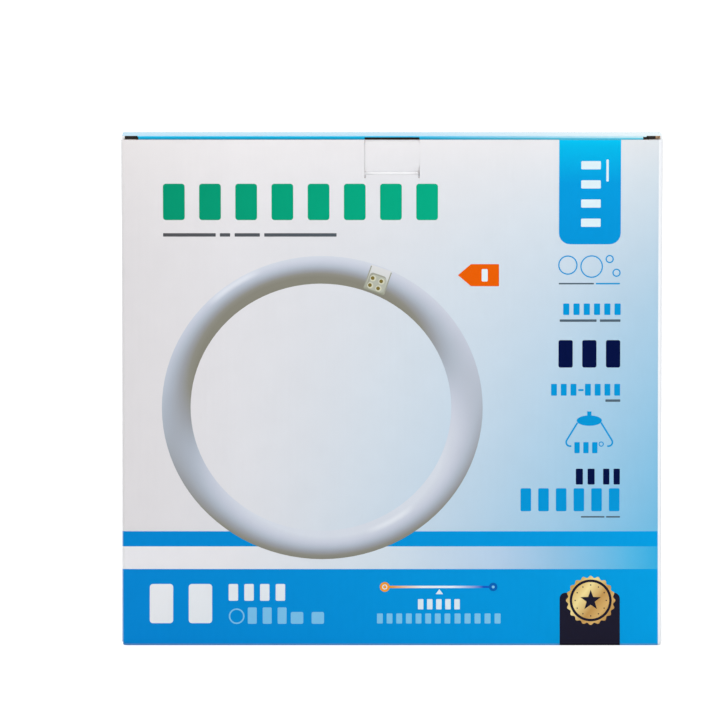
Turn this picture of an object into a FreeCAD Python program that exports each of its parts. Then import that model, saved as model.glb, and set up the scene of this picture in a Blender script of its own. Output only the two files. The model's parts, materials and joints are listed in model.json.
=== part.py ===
import FreeCAD, Part
import math
import os

import Sketcher

# Closed retail carton for a flat ring lamp, folded from one blank of fluted board.
# +X points right, -Y is the front panel, +Z is up; the origin is the middle of the base.
# Millimetres throughout.

SIZES = {
    # Outside of the closed carton
    "width": "330",
    "depth": "38",
    "height": "312",
    # Board and folds
    "board": "1.8",
    "fold_radius": "0.4",
    "layer_gap": "0.3",
    # Lid panel and its tuck flap
    "lid_inset": "0.5",
    "corner_relief": "5",
    "tuck_length": "25",
    "tuck_corner": "9",
    "slit_length": "10",
    # Side flaps under the lid and over the floor
    "dust_length": "50",
    "dust_taper": "9",
    "shoulder_slant": "1.5",
    # Glued seam at the rear left corner, and the glued floor
    "glue_width": "30",
    "floor_setback": "1",
    # Lock tab cut out of the front panel
    "tab_width": "32.4",
    "tab_length": "20.7",
    "cut_gap": "0.5",
    "cut_overrun": "2.6",
    "crease_depth": "0.5",
    "crease_rise": "0.7",
    "crease_gap": "0.3",
    "tongue_angle": "38",
    "tongue_corner": "7",
    "slot_angle": "40",
}

doc = FreeCAD.newDocument("lamp_carton")
sheet = doc.addObject("Spreadsheet::Sheet", "sizes")
for row, (alias, value) in enumerate(SIZES.items(), start=1):
    sheet.set(f"A{row}", alias)
    sheet.set(f"B{row}", value)
    sheet.setAlias(f"B{row}", alias)
doc.recompute()

# Lengths that several features share, written in terms of the sheet.
BOARD = "sizes.board"
GAP = "sizes.layer_gap"
BEND = "sizes.fold_radius"
FOLD = "(sizes.fold_radius + sizes.board)"
TUCK_FRONT = "(sizes.board + sizes.layer_gap)"
TUCK_BACK = "(2 * sizes.board + sizes.layer_gap)"
FOLD_END = f"({TUCK_FRONT} + {FOLD})"
FRONT_TOP = "(sizes.height - sizes.board - sizes.layer_gap)"
WALL_TOP = f"({FRONT_TOP} - {FOLD})"
WALL_BOTTOM = f"(2 * sizes.board + {FOLD})"
DUST_FRONT = "(2 * sizes.board + 2 * sizes.layer_gap)"
DUST_BACK = "(sizes.depth - 2 * sizes.board - sizes.layer_gap)"
CREASE = f"({FRONT_TOP} - sizes.tab_length)"
HALF_WINDOW = "(sizes.tab_width / 2 + sizes.cut_gap)"
# Sketch origins: the front left bottom corner of the carton, so that heights, widths and
# depths in the outlines are measured from its outer faces.
FROM_LEFT = "-sizes.width / 2"
FROM_FRONT = "-sizes.depth / 2"


def new_sketch(body, name, role, base_x="0", base_y="0", base_z="0"):
    """Sketch on one of the body's own origin planes, moved in and off that plane."""
    sketch = body.newObject("Sketcher::SketchObject", name)
    plane = [item for item in body.Origin.OriginFeatures if item.Role == role][0]
    sketch.AttachmentSupport = [(plane, "")]
    sketch.MapMode = "FlatFace"
    sketch.setExpression("AttachmentOffset.Base.x", base_x)
    sketch.setExpression("AttachmentOffset.Base.y", base_y)
    sketch.setExpression("AttachmentOffset.Base.z", base_z)
    return sketch


def front_sketch(body, name, distance_in="0", base_x="0"):
    """Sketch seen from the front (x right, y up), on a plane that far behind the front face."""
    return new_sketch(body, name, "XZ_Plane", base_x, "0", f"sizes.depth / 2 - ({distance_in})")


def side_sketch(body, name):
    """Section across the middle of the carton: x runs from the front face to the back."""
    return new_sketch(body, name, "YZ_Plane", FROM_FRONT)


def plan_sketch(body, name, level, base_x=FROM_LEFT):
    """Sketch seen from above, at a level over the base; y runs from the front face back."""
    return new_sketch(body, name, "XY_Plane", base_x, FROM_FRONT, level)


def add_outline(sketch, steps):
    """Closed outline of straight and round edges, with every corner bound to the sheet.

    A step is (x, y) for a straight edge to that corner, or (x, y, radius, turn) for an arc:
    turn +1 bends left and -1 bends right along the direction of travel.
    """
    corners = []
    for step in steps:
        x = float(sketch.evalExpression(step[0]))
        y = float(sketch.evalExpression(step[1]))
        corners.append(FreeCAD.Vector(x, y, 0))
    edges = []
    for index, step in enumerate(steps):
        start = corners[index - 1]
        end = corners[index]
        if len(step) == 2:
            edges.append((sketch.addGeometry(Part.LineSegment(start, end)), 1, 2))
            continue
        radius = float(sketch.evalExpression(step[2]))
        turn = step[3]
        chord = end - start
        rise = math.sqrt(max(radius ** 2 - (chord.Length / 2) ** 2, 0))
        left = FreeCAD.Vector(-chord.y, chord.x, 0).normalize()
        centre = start + chord * 0.5 + left * (rise * turn)
        first, last = (start, end) if turn > 0 else (end, start)
        circle = Part.Circle(centre, FreeCAD.Vector(0, 0, 1), radius)
        from_angle = math.atan2(first.y - centre.y, first.x - centre.x)
        to_angle = math.atan2(last.y - centre.y, last.x - centre.x)
        if to_angle < from_angle:
            to_angle += 2 * math.pi
        edge = sketch.addGeometry(Part.ArcOfCircle(circle, from_angle, to_angle))
        edges.append((edge, 1, 2) if turn > 0 else (edge, 2, 1))
        bound = sketch.addConstraint(Sketcher.Constraint("Radius", edge, radius))
        sketch.setExpression(f"Constraints[{bound}]", step[2])
    for index, (edge, _, far_end) in enumerate(edges):
        following, next_start, _ = edges[(index + 1) % len(edges)]
        sketch.addConstraint(Sketcher.Constraint("Coincident", edge, far_end, following, next_start))
        for kind, value, text in (
            ("DistanceX", corners[index].x, steps[index][0]),
            ("DistanceY", corners[index].y, steps[index][1]),
        ):
            if value < 0:
                rule = Sketcher.Constraint(kind, edge, far_end, -1, 1, -value)
                text = f"-({text})"
            else:
                rule = Sketcher.Constraint(kind, -1, 1, edge, far_end, value)
            bound = sketch.addConstraint(rule)
            sketch.setExpression(f"Constraints[{bound}]", text)


def add_pad(body, name, sketch, length, centred=False):
    pad = body.newObject("PartDesign::Pad", name)
    pad.Profile = sketch
    pad.Midplane = centred
    pad.setExpression("Length", length)
    return pad


def add_pocket(body, name, sketch, length, centred=False, reverse=False):
    pocket = body.newObject("PartDesign::Pocket", name)
    pocket.Profile = sketch
    pocket.Midplane = centred
    pocket.Reversed = reverse
    pocket.setExpression("Length", length)
    return pocket


def mirror_left(body, name, features):
    """Repeat right-hand features on the left of the carton."""
    mirrored = body.newObject("PartDesign::Mirrored", name)
    mirrored.Originals = features
    plane = [item for item in body.Origin.OriginFeatures if item.Role == "YZ_Plane"][0]
    mirrored.MirrorPlane = (plane, [""])
    body.Tip = mirrored
    return mirrored


def add_lid(body):
    """Lid panel hinged on the back panel, its tuck flap folded down behind the front panel."""
    section = side_sketch(body, "LidSection")
    add_outline(section, [
        ("sizes.depth", WALL_TOP),
        ("sizes.depth", f"sizes.height - {FOLD}"),
        (f"sizes.depth - {FOLD}", "sizes.height", FOLD, 1),
        (FOLD_END, "sizes.height"),
        (TUCK_FRONT, f"sizes.height - {FOLD}", FOLD, 1),
        (TUCK_FRONT, "sizes.height - sizes.tuck_length"),
        (TUCK_BACK, "sizes.height - sizes.tuck_length"),
        (TUCK_BACK, f"sizes.height - {FOLD}"),
        (FOLD_END, "sizes.height - sizes.board", BEND, -1),
        (f"sizes.depth - {FOLD}", "sizes.height - sizes.board"),
        ("sizes.depth - sizes.board", f"sizes.height - {FOLD}", BEND, -1),
        ("sizes.depth - sizes.board", WALL_TOP),
    ])
    add_pad(body, "LidStrip", section, "sizes.width - 2 * sizes.lid_inset", centred=True)

    # The rear corners are relieved so that the lid clears the side flaps when it lifts.
    relief = plan_sketch(body, "LidReliefPlan", "sizes.height")
    add_outline(relief, [
        (f"sizes.width - {FOLD}", "sizes.depth"),
        ("sizes.width - sizes.lid_inset", "sizes.depth - sizes.corner_relief"),
        ("sizes.width", "sizes.depth - sizes.corner_relief"),
        ("sizes.width", "sizes.depth"),
    ])
    relief_cut = add_pocket(body, "LidRelief", relief, f"sizes.height - {WALL_TOP}")

    # A slit along the fold at each end leaves a shoulder, which the side flap locks under the
    # lid; below it the tuck flap ends in a large round corner.
    shoulder_level = "sizes.height - 2 * sizes.board - 2 * sizes.layer_gap"
    flap_end = "(sizes.width - sizes.board - sizes.layer_gap)"
    flap_foot = "(sizes.height - sizes.tuck_length)"
    corner = front_sketch(body, "TuckCornerOutline", "sizes.board + sizes.layer_gap / 2", FROM_LEFT)
    add_outline(corner, [
        ("sizes.width - sizes.slit_length", "sizes.height + sizes.board"),
        ("sizes.width - sizes.slit_length", shoulder_level),
        (flap_end, shoulder_level),
        (flap_end, f"{flap_foot} + sizes.tuck_corner"),
        (f"{flap_end} - sizes.tuck_corner", flap_foot, "sizes.tuck_corner", -1),
        (f"{flap_end} - sizes.tuck_corner", f"{flap_foot} - sizes.board"),
        ("sizes.width", f"{flap_foot} - sizes.board"),
        ("sizes.width", "sizes.height + sizes.board"),
    ])
    corner_cut = add_pocket(
        body, "TuckCorner", corner, f"{FOLD_END} - sizes.board - sizes.layer_gap / 2")
    mirror_left(body, "LidLeftEnd", [relief_cut, corner_cut])


def add_tab_slot(body):
    """Slot through the tuck flap below the fold, which takes the tongue of the lock tab."""
    # The foot of the slot stays a gap below the tongue, whose underside is round about the crease.
    under_radius = "(sizes.tab_length - sizes.board)"
    reach = f"({TUCK_BACK} - sizes.crease_depth)"
    slot_foot = f"{CREASE} + sqrt({under_radius} * {under_radius} - {reach} * {reach}) - {GAP}"
    # Its upper edge is square to the board, so it points at the centre of the fold.
    outside = "sizes.board + sizes.layer_gap / 2"
    run = f"({FOLD} + sizes.layer_gap / 2)"
    section = side_sketch(body, "TabSlotSection")
    add_outline(section, [
        (FOLD_END, f"sizes.height - {FOLD}"),
        (outside, f"sizes.height - {FOLD} + {run} * tan(sizes.slot_angle * 1 deg)"),
        (outside, slot_foot),
        (FOLD_END, slot_foot),
    ])
    add_pocket(body, "TabSlot", section, f"2 * {HALF_WINDOW}", centred=True)


def add_sleeve(body):
    """The four panels round the lamp, closed by a seam glued inside the rear left corner."""
    plan = plan_sketch(body, "SleevePlan", WALL_BOTTOM)
    seam = "sizes.depth - sizes.board"
    add_outline(plan, [
        (FOLD, "sizes.depth"),
        (f"sizes.width - {FOLD}", "sizes.depth"),
        ("sizes.width", f"sizes.depth - {FOLD}", FOLD, -1),
        ("sizes.width", FOLD),
        (f"sizes.width - {FOLD}", "0", FOLD, -1),
        (FOLD, "0"),
        ("0", FOLD, FOLD, -1),
        ("0", f"{seam} - {FOLD}"),
        (FOLD, seam, FOLD, -1),
    ])
    add_outline(plan, [
        (BOARD, FOLD, BEND, -1),
        (BOARD, f"{seam} - {FOLD}"),
        (FOLD, f"{seam} - sizes.board", BEND, -1),
        (f"{FOLD} + sizes.glue_width", f"{seam} - sizes.board"),
        (f"{FOLD} + sizes.glue_width", seam),
        (f"sizes.width - {FOLD}", seam),
        ("sizes.width - sizes.board", f"sizes.depth - {FOLD}", BEND, -1),
        ("sizes.width - sizes.board", FOLD),
        (f"sizes.width - {FOLD}", BOARD, BEND, -1),
        (FOLD, BOARD),
    ])
    add_pad(body, "Sleeve", plan, f"{WALL_TOP} - {WALL_BOTTOM}")

    # The front panel and its corner folds stand higher than the side folds and reach lower.
    front = plan_sketch(body, "FrontPanelPlan", FOLD)
    add_outline(front, [
        ("0", FOLD),
        (FOLD, "0", FOLD, 1),
        (f"sizes.width - {FOLD}", "0"),
        ("sizes.width", FOLD, FOLD, 1),
        ("sizes.width", TUCK_BACK),
        ("sizes.width - sizes.board", TUCK_BACK),
        ("sizes.width - sizes.board", FOLD),
        (f"sizes.width - {FOLD}", BOARD, BEND, -1),
        (FOLD, BOARD),
        (BOARD, FOLD, BEND, -1),
        (BOARD, TUCK_BACK),
        ("0", TUCK_BACK),
    ])
    add_pad(body, "FrontPanel", front, f"{FRONT_TOP} - {FOLD}")


def add_dust_flaps(body):
    """Side flaps under the lid, each with a shoulder that catches in the slit of the tuck fold."""
    fold = front_sketch(body, "DustFoldSection", DUST_BACK, FROM_LEFT)
    add_outline(fold, [
        ("sizes.width", WALL_TOP),
        (f"sizes.width - {FOLD}", FRONT_TOP, FOLD, 1),
        (f"sizes.width - {FOLD}", f"{FRONT_TOP} - sizes.board"),
        ("sizes.width - sizes.board", WALL_TOP, BEND, -1),
    ])
    fold_pad = add_pad(body, "DustFold", fold, f"{DUST_BACK} - {DUST_FRONT}")

    shoulder_end = "(sizes.width - sizes.slit_length + sizes.layer_gap)"
    plan = plan_sketch(body, "DustFlapPlan", f"{FRONT_TOP} - sizes.board")
    add_outline(plan, [
        (f"sizes.width - {FOLD}", TUCK_FRONT),
        (f"sizes.width - {FOLD}", DUST_BACK),
        ("sizes.width - sizes.dust_length + sizes.dust_taper", DUST_BACK),
        ("sizes.width - sizes.dust_length", f"{DUST_BACK} - sizes.dust_taper"),
        ("sizes.width - sizes.dust_length", DUST_FRONT),
        (shoulder_end, DUST_FRONT),
        (f"{shoulder_end} + sizes.shoulder_slant", TUCK_FRONT),
    ])
    flap_pad = add_pad(body, "DustFlap", plan, BOARD)
    mirror_left(body, "DustFlapLeft", [fold_pad, flap_pad])


def add_floor(body):
    """Floor of four glued flaps: the front one outermost, then the rear one, then the sides."""
    outer = side_sketch(body, "FrontFloorSection")
    add_outline(outer, [
        ("0", FOLD),
        (FOLD, "0", FOLD, 1),
        ("sizes.depth - sizes.floor_setback", "0"),
        ("sizes.depth - sizes.floor_setback", BOARD),
        (FOLD, BOARD),
        (BOARD, FOLD, BEND, -1),
    ])
    add_pad(body, "FrontFloorFlap", outer, "sizes.width - 2 * sizes.lid_inset", centred=True)
    relief = plan_sketch(body, "FloorReliefPlan", "0")
    add_outline(relief, [
        (f"sizes.width - {FOLD}", "0"),
        ("sizes.width", "0"),
        ("sizes.width", "sizes.corner_relief"),
        ("sizes.width - sizes.lid_inset", "sizes.corner_relief"),
    ])
    relief_cut = add_pocket(body, "FloorRelief", relief, FOLD, reverse=True)
    mirror_left(body, "FloorReliefLeft", [relief_cut])

    inner = side_sketch(body, "RearFloorSection")
    add_outline(inner, [
        ("sizes.depth", WALL_BOTTOM),
        ("sizes.depth", f"sizes.board + {FOLD}"),
        (f"sizes.depth - {FOLD}", BOARD, FOLD, -1),
        (f"{FOLD} + sizes.layer_gap", BOARD),
        (f"{FOLD} + sizes.layer_gap", "2 * sizes.board"),
        (f"sizes.depth - {FOLD}", "2 * sizes.board"),
        ("sizes.depth - sizes.board", f"sizes.board + {FOLD}", BEND, 1),
        ("sizes.depth - sizes.board", WALL_BOTTOM),
    ])
    add_pad(body, "RearFloorFlap", inner, f"sizes.width - 2 * {FOLD}", centred=True)

    side = front_sketch(body, "SideFloorSection", DUST_BACK, FROM_LEFT)
    add_outline(side, [
        ("sizes.width", WALL_BOTTOM, FOLD, 1),
        ("sizes.width - sizes.board", WALL_BOTTOM),
        (f"sizes.width - {FOLD}", "3 * sizes.board", BEND, -1),
        ("sizes.width - sizes.dust_length", "3 * sizes.board"),
        ("sizes.width - sizes.dust_length", "2 * sizes.board"),
        (f"sizes.width - {FOLD}", "2 * sizes.board"),
    ])
    side_pad = add_pad(body, "SideFloorFlap", side, f"{DUST_BACK} - {DUST_FRONT}")
    mirror_left(body, "SideFloorFlapLeft", [side_pad])


def add_tab_window(body):
    """Opening in the front panel for the lock tab, down to its crease."""
    section = side_sketch(body, "TabWindowSection")
    behind = "sizes.board + sizes.layer_gap / 2"
    add_outline(section, [
        ("-sizes.board", f"{CREASE} - sizes.crease_rise"),
        ("0", f"{CREASE} - sizes.crease_rise"),
        ("sizes.crease_depth", f"{CREASE} - sizes.crease_gap / 2"),
        (behind, f"{CREASE} - sizes.crease_gap / 2"),
        (behind, f"{FRONT_TOP} + sizes.board"),
        ("-sizes.board", f"{FRONT_TOP} + sizes.board"),
    ])
    add_pocket(body, "TabWindow", section, f"2 * {HALF_WINDOW}", centred=True)

    # The two side cuts run a little past the crease.
    cuts = front_sketch(body, "TabCuts")
    foot = f"{CREASE} - sizes.cut_overrun"
    add_outline(cuts, [
        ("sizes.tab_width / 2", CREASE),
        ("sizes.tab_width / 2", foot),
        (HALF_WINDOW, foot),
        (HALF_WINDOW, CREASE),
    ])
    cut = add_pocket(body, "TabCut", cuts, behind)
    mirror_left(body, "TabCutLeft", [cut])


def add_lock_tab(body):
    """Tab that swings out about its crease; its tongue bends in under the lid and is round
    about the crease, so that it slides out of the slot without rubbing."""
    over = "sizes.tab_length"
    under = "(sizes.tab_length - sizes.board)"
    # The centre of the top bend lies as far behind the crease line as the bend needs, and on
    # the circle that makes both bend radii run smoothly into the two sides of the tongue.
    back = f"({FOLD} - sizes.crease_depth)"
    arm = f"({over} - {FOLD})"
    up = f"sqrt({arm} * {arm} - {back} * {back})"
    swing = "sizes.tongue_angle * 1 deg"
    section = side_sketch(body, "TabSection")
    add_outline(section, [
        ("0", f"{CREASE} + sizes.crease_rise"),
        ("0", f"{CREASE} + {up}"),
        (
            f"sizes.crease_depth + {back} * {over} / {arm}",
            f"{CREASE} + {up} * {over} / {arm}",
            FOLD, -1,
        ),
        (
            f"sizes.crease_depth + {over} * sin({swing})",
            f"{CREASE} + {over} * cos({swing})",
            over, -1,
        ),
        (
            f"sizes.crease_depth + {under} * sin({swing})",
            f"{CREASE} + {under} * cos({swing})",
        ),
        (
            f"sizes.crease_depth + {back} * {under} / {arm}",
            f"{CREASE} + {up} * {under} / {arm}",
            under, 1,
        ),
        (BOARD, f"{CREASE} + {up}", BEND, 1),
        (BOARD, f"{CREASE} + sizes.crease_gap / 2"),
        ("sizes.crease_depth", f"{CREASE} + sizes.crease_gap / 2"),
    ])
    add_pad(body, "Tab", section, "sizes.tab_width", centred=True)

    # Round corners at the tip of the tongue.
    tip = f"(sizes.crease_depth + {over} * sin({swing}))"
    half = "(sizes.tab_width / 2)"
    corner = plan_sketch(body, "TongueCornerPlan", FRONT_TOP, base_x="0")
    add_outline(corner, [
        (f"{half} - sizes.tongue_corner", f"{tip} + sizes.board"),
        (f"{half} - sizes.tongue_corner", tip),
        (half, f"{tip} - sizes.tongue_corner", "sizes.tongue_corner", -1),
        (f"{half} + sizes.board", f"{tip} - sizes.tongue_corner"),
        (f"{half} + sizes.board", f"{tip} + sizes.board"),
    ])
    corner_cut = add_pocket(body, "TongueCorner", corner, over)
    mirror_left(body, "TongueCornerLeft", [corner_cut])


carton = doc.addObject("PartDesign::Body", "Carton")
carton.Label = "carton"
add_lid(carton)
add_tab_slot(carton)
add_sleeve(carton)
add_dust_flaps(carton)
add_floor(carton)
add_tab_window(carton)

lock_tab = doc.addObject("PartDesign::Body", "LockTab")
lock_tab.Label = "lock_tab"
add_lock_tab(lock_tab)

doc.recompute()

for item in doc.Objects:
    for state in item.State:
        if state in ("Invalid", "Error"):
            raise RuntimeError(f"{item.Label} did not build: {item.State}")
for body in (carton, lock_tab):
    if body.Shape.isNull() or not body.Shape.isValid() or len(body.Shape.Solids) != 1:
        raise RuntimeError(f"{body.Label} is not one valid solid")

os.makedirs("parts", exist_ok=True)
for body in (carton, lock_tab):
    body.Shape.exportStep(os.path.join("parts", f"{body.Label}.step"))
    box = body.Shape.BoundBox
    print(f"{body.Label}: {box.XLength:.1f} x {box.YLength:.1f} x {box.ZLength:.1f} mm,"
          f" {body.Shape.Volume / 1000:.1f} cm3")
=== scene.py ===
import json
import math

import bpy
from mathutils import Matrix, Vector

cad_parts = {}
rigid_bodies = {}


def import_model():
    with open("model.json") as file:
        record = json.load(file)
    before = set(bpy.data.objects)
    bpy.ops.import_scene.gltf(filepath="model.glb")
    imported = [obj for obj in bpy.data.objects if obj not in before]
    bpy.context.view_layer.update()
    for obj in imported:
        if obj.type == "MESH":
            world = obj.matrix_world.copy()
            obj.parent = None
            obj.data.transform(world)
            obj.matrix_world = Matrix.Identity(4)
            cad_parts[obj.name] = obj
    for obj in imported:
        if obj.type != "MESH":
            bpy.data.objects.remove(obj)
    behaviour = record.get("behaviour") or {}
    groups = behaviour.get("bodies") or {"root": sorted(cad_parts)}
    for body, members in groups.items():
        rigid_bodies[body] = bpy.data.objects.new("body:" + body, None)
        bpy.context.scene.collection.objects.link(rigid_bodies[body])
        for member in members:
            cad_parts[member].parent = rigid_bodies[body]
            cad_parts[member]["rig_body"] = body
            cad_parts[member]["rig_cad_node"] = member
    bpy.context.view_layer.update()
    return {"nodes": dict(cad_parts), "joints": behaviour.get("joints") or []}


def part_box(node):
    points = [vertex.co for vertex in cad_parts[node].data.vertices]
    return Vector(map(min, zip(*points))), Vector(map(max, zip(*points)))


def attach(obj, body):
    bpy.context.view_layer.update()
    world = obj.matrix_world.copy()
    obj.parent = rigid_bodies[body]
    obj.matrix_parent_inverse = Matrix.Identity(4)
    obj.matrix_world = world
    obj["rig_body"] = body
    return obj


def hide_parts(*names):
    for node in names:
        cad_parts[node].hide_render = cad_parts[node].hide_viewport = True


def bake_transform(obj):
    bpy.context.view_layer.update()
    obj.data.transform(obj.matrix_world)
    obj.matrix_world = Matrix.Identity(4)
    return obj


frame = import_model()

# The blank. White coated fluted board, brown inside, die-cut, printed, creased and folded into
# the carton. Its solid is copied, its flat faces are made whole and cut into a fine grid, and
# each face gets the side of the board that it lies on: print, white liner or bare brown.
MM = 0.001
low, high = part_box("carton")
half_width = high.x
front_y = low.y
back_y = high.y
top_z = high.z
middle_z = top_z / 2
board = 1.8 * MM
fold = 2.2 * MM
layer_gap = 0.3 * MM
tuck_length = 25 * MM
front_top = top_z - board - layer_gap
panel_bulge = 0.6 * MM
side_pinch = 0.3 * MM
grid_step = 8 * MM
skin = 0.03 * MM
fold_skin = 0.12 * MM


def only(piece):
    """Select this piece alone."""
    bpy.ops.object.select_all(action="DESELECT")
    piece.select_set(True)
    bpy.context.view_layer.objects.active = piece


def copy_of_node(node, name):
    """A copy of a solid from the frame, its loose triangles merged into whole flat faces."""
    piece = frame["nodes"][node].copy()
    piece.data = piece.data.copy()
    piece.name = name
    piece.parent = None
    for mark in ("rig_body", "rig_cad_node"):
        del piece[mark]
    bpy.context.collection.objects.link(piece)
    only(piece)
    if piece.data.has_custom_normals:
        bpy.ops.mesh.customdata_custom_splitnormals_clear()
    bpy.ops.object.mode_set(mode="EDIT")
    bpy.ops.mesh.select_all(action="SELECT")
    bpy.ops.mesh.remove_doubles(threshold=0.001 * MM)
    bpy.ops.mesh.dissolve_limited(angle_limit=math.radians(0.4))
    bpy.ops.object.mode_set(mode="OBJECT")
    piece.data.materials.clear()
    return piece


def cut_along(piece, axis, places):
    """Cut right through the piece, square to an axis, at those places."""
    only(piece)
    normal = Vector((0, 0, 0))
    normal[axis] = 1
    bpy.ops.object.mode_set(mode="EDIT")
    for place in places:
        bpy.ops.mesh.select_all(action="SELECT")
        bpy.ops.mesh.bisect(plane_co=normal * place, plane_no=normal)
    bpy.ops.object.mode_set(mode="OBJECT")


def bulge(piece):
    """The lamp inside holds the panels apart: they stand out in the middle, and the side
    folds draw in a little."""
    for vertex in piece.data.vertices:
        place = vertex.co
        across = 1 - (place.x / half_width) ** 2
        up = 1 - ((place.z - middle_z) / middle_z) ** 2
        place.y += panel_bulge * place.y / back_y * max(across, 0) * max(up, 0)
        place.x -= side_pinch * place.x / half_width * max(up, 0)


# Heights of the printed bands on the front panel, and the edges of its print and its ribbon.
stripe_top = 70.3 * MM
stripe_foot = 61.0 * MM
foot_band_top = 47.1 * MM
print_right = 162.5 * MM
ribbon_left = 102.5 * MM
ribbon_right = 139.3 * MM

# The tuck flap's fold is slit at both ends. Its blue print gives way there to painted shade, and
# in the slit the cut edge is painted nearly black as painted shade, then brown at the right, and
# white towards the corners.
tuck_blue_foot = front_top - 3 * MM
fold_shade_left = -154.5 * MM
fold_shade_right = 152.9 * MM
fold_shade_top = top_z - 0.45 * MM
slit_foot = front_top - 1.5 * MM
slit_rear = front_y + 5 * MM
slit_shade_left = -162.8 * MM
slit_shade_right = 160.5 * MM
slit_brown_right = 163.4 * MM

# The first cuts, a step apart across and up the panels, let flat faces take the bulge. The
# others run along the edges of the print.
shell = copy_of_node("carton", "carton_board")
columns = int(half_width / grid_step)
cut_along(shell, 0, [step * grid_step for step in range(-columns, columns + 1)])
cut_along(shell, 2, [step * grid_step for step in range(1, int(top_z / grid_step) + 1)])
cut_along(shell, 0, [
    print_right, ribbon_left, ribbon_right, slit_shade_left, slit_shade_right,
    fold_shade_left, fold_shade_right, slit_brown_right,
])
cut_along(shell, 2, [stripe_top, stripe_foot, foot_band_top, tuck_blue_foot])

FINISHES = (
    "front_ground", "front_stripe", "front_pale_band", "front_foot_band", "ribbon_black",
    "white_board_across", "white_board_along", "lid_blue", "floor_blue", "bare_board",
    "shaded_edge",
)


def outside_fold(height, depth, fold_height, fold_depth):
    """Whether a point lies on the outer skin of a fold round that centre."""
    return math.hypot(height - fold_height, depth - fold_depth) > fold - fold_skin


def side_of_board(centre, normal):
    """The finish of one face, from where it lies on the folded blank."""
    x, y, z = centre
    right = abs(x)
    if y < front_y + skin or (
        y < front_y + fold and right > half_width - fold and z > fold and abs(normal.z) < 0.5
        and outside_fold(right, y, half_width - fold, front_y + fold)
    ):
        if x > print_right or x < -half_width + skin:
            return "white_board_across"
        if z < fold and ribbon_left < x < ribbon_right:
            return "ribbon_black"
        if z > stripe_top:
            return "front_ground"
        if z > stripe_foot:
            return "front_stripe"
        if z > foot_band_top:
            return "front_pale_band"
        return "front_foot_band"
    if z < fold and y < front_y + fold and abs(normal.x) < 0.5:
        if outside_fold(z, y, fold, front_y + fold):
            if x > print_right:
                return "white_board_across"
            return "ribbon_black" if ribbon_left < x < ribbon_right else "front_foot_band"
    if z < skin and normal.z < -0.9:
        return "floor_blue"
    if z > top_z - skin and normal.z > 0.9:
        return "lid_blue"
    behind_panel = front_y + board + skin
    if z > top_z - fold and y > behind_panel and abs(normal.x) < 0.5:
        if y > back_y - fold and outside_fold(z, y, top_z - fold, back_y - fold):
            return "lid_blue"
        tuck_fold = front_y + board + layer_gap + fold
        if y < tuck_fold and outside_fold(z, y, top_z - fold, tuck_fold):
            # Beside the slits the fold's blue gives way to a nearly black finish, which is painted
            # shade.
            in_fold_shade = z < fold_shade_top and (x < fold_shade_left or x > fold_shade_right)
            return "shaded_edge" if in_fold_shade else "lid_blue"
    if normal.y < -0.9 and abs(y - front_y - board - layer_gap) < skin and z > top_z - tuck_length:
        return "lid_blue" if z > tuck_blue_foot else "white_board_across"
    if y > back_y - skin and normal.y > 0.9:
        return "white_board_across"
    if right > half_width - skin and abs(normal.x) > 0.9:
        return "white_board_along"
    rear_fold = back_y - fold - (board if x < 0 else 0)
    if y > rear_fold and right > half_width - fold and abs(normal.z) < 0.5:
        if outside_fold(right, y, half_width - fold, rear_fold):
            return "white_board_along"
    if y > back_y - fold and z < board + fold and abs(normal.x) < 0.5:
        if outside_fold(z, y, board + fold, back_y - fold) and z > board:
            return "white_board_across"
    if right > half_width - fold and abs(normal.y) < 0.5:
        wall_top = front_top - fold
        if z > wall_top and outside_fold(z, right, wall_top, half_width - fold):
            return "white_board_along"
        wall_foot = 2 * board + fold
        if z < wall_foot and outside_fold(z, right, wall_foot, half_width - fold):
            return "white_board_along"
    inner = front_y + board + layer_gap - skin
    if abs(z - front_top) < skin and normal.z > 0.9 and y > inner and right < half_width - fold:
        return "white_board_along"
    if z > slit_foot and behind_panel < y < slit_rear:
        if x < slit_shade_left or x > slit_brown_right:
            return "white_board_across"
        if x < slit_shade_right:
            return "shaded_edge"
    return "bare_board"


for finish in FINISHES:
    shell.data.materials.append(bpy.data.materials.new(finish))
for face in shell.data.polygons:
    face.material_index = FINISHES.index(side_of_board(face.center, face.normal))
    face.use_smooth = True


def press_trench(chosen):
    """Press a trench between the two liners into the cut edges that are chosen."""
    only(shell)
    bpy.ops.object.mode_set(mode="EDIT")
    bpy.ops.mesh.select_mode(type="FACE")
    bpy.ops.mesh.select_all(action="DESELECT")
    bpy.ops.object.mode_set(mode="OBJECT")
    for face in shell.data.polygons:
        face.select = chosen(face.center, face.normal)
    bpy.ops.object.mode_set(mode="EDIT")
    bpy.ops.mesh.inset(thickness=liner)
    bpy.ops.mesh.inset(thickness=0, depth=-flute_depth)
    shell.active_material_index = FINISHES.index("bare_board")
    bpy.ops.object.material_slot_assign()
    bpy.ops.mesh.select_mode(type="VERT")
    bpy.ops.object.mode_set(mode="OBJECT")


def on_panel_top(centre, normal):
    """Whether a face is on the cut top edge of the front panel."""
    at_top = abs(centre.z - front_top) < skin and normal.z > 0.9
    return at_top and centre.y < front_y + board and abs(centre.x) < half_width - fold


def on_floor_edge(centre, normal):
    """Whether a face is on the cut rear edge of the floor flap."""
    return centre.z < board and normal.y > 0.9 and centre.y > back_y - fold


liner = 0.3 * MM
flute_depth = 2 * MM
press_trench(on_panel_top)
press_trench(on_floor_edge)

# The fold at the front panel's foot runs on to the rounded corners. Its ends are drawn out to
# them, and give way a little.
drawn_share = 0.7
pressed_share = 0.72
for vertex in shell.data.vertices:
    place = vertex.co
    ahead = front_y + fold - place.y
    at_end = abs(place.x) > half_width - fold - 0.05 * MM
    if at_end and ahead > 0.01 * MM and place.z < fold - 0.02 * MM:
        corner_end = half_width - fold + drawn_share * ahead
        place.x = math.copysign(max(corner_end, abs(place.x)), place.x)
        place.y = front_y + fold - pressed_share * ahead
only(shell)
bpy.ops.object.shade_smooth_by_angle(angle=math.radians(35))
bulge(shell)
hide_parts("carton")
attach(shell, "carton")


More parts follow.
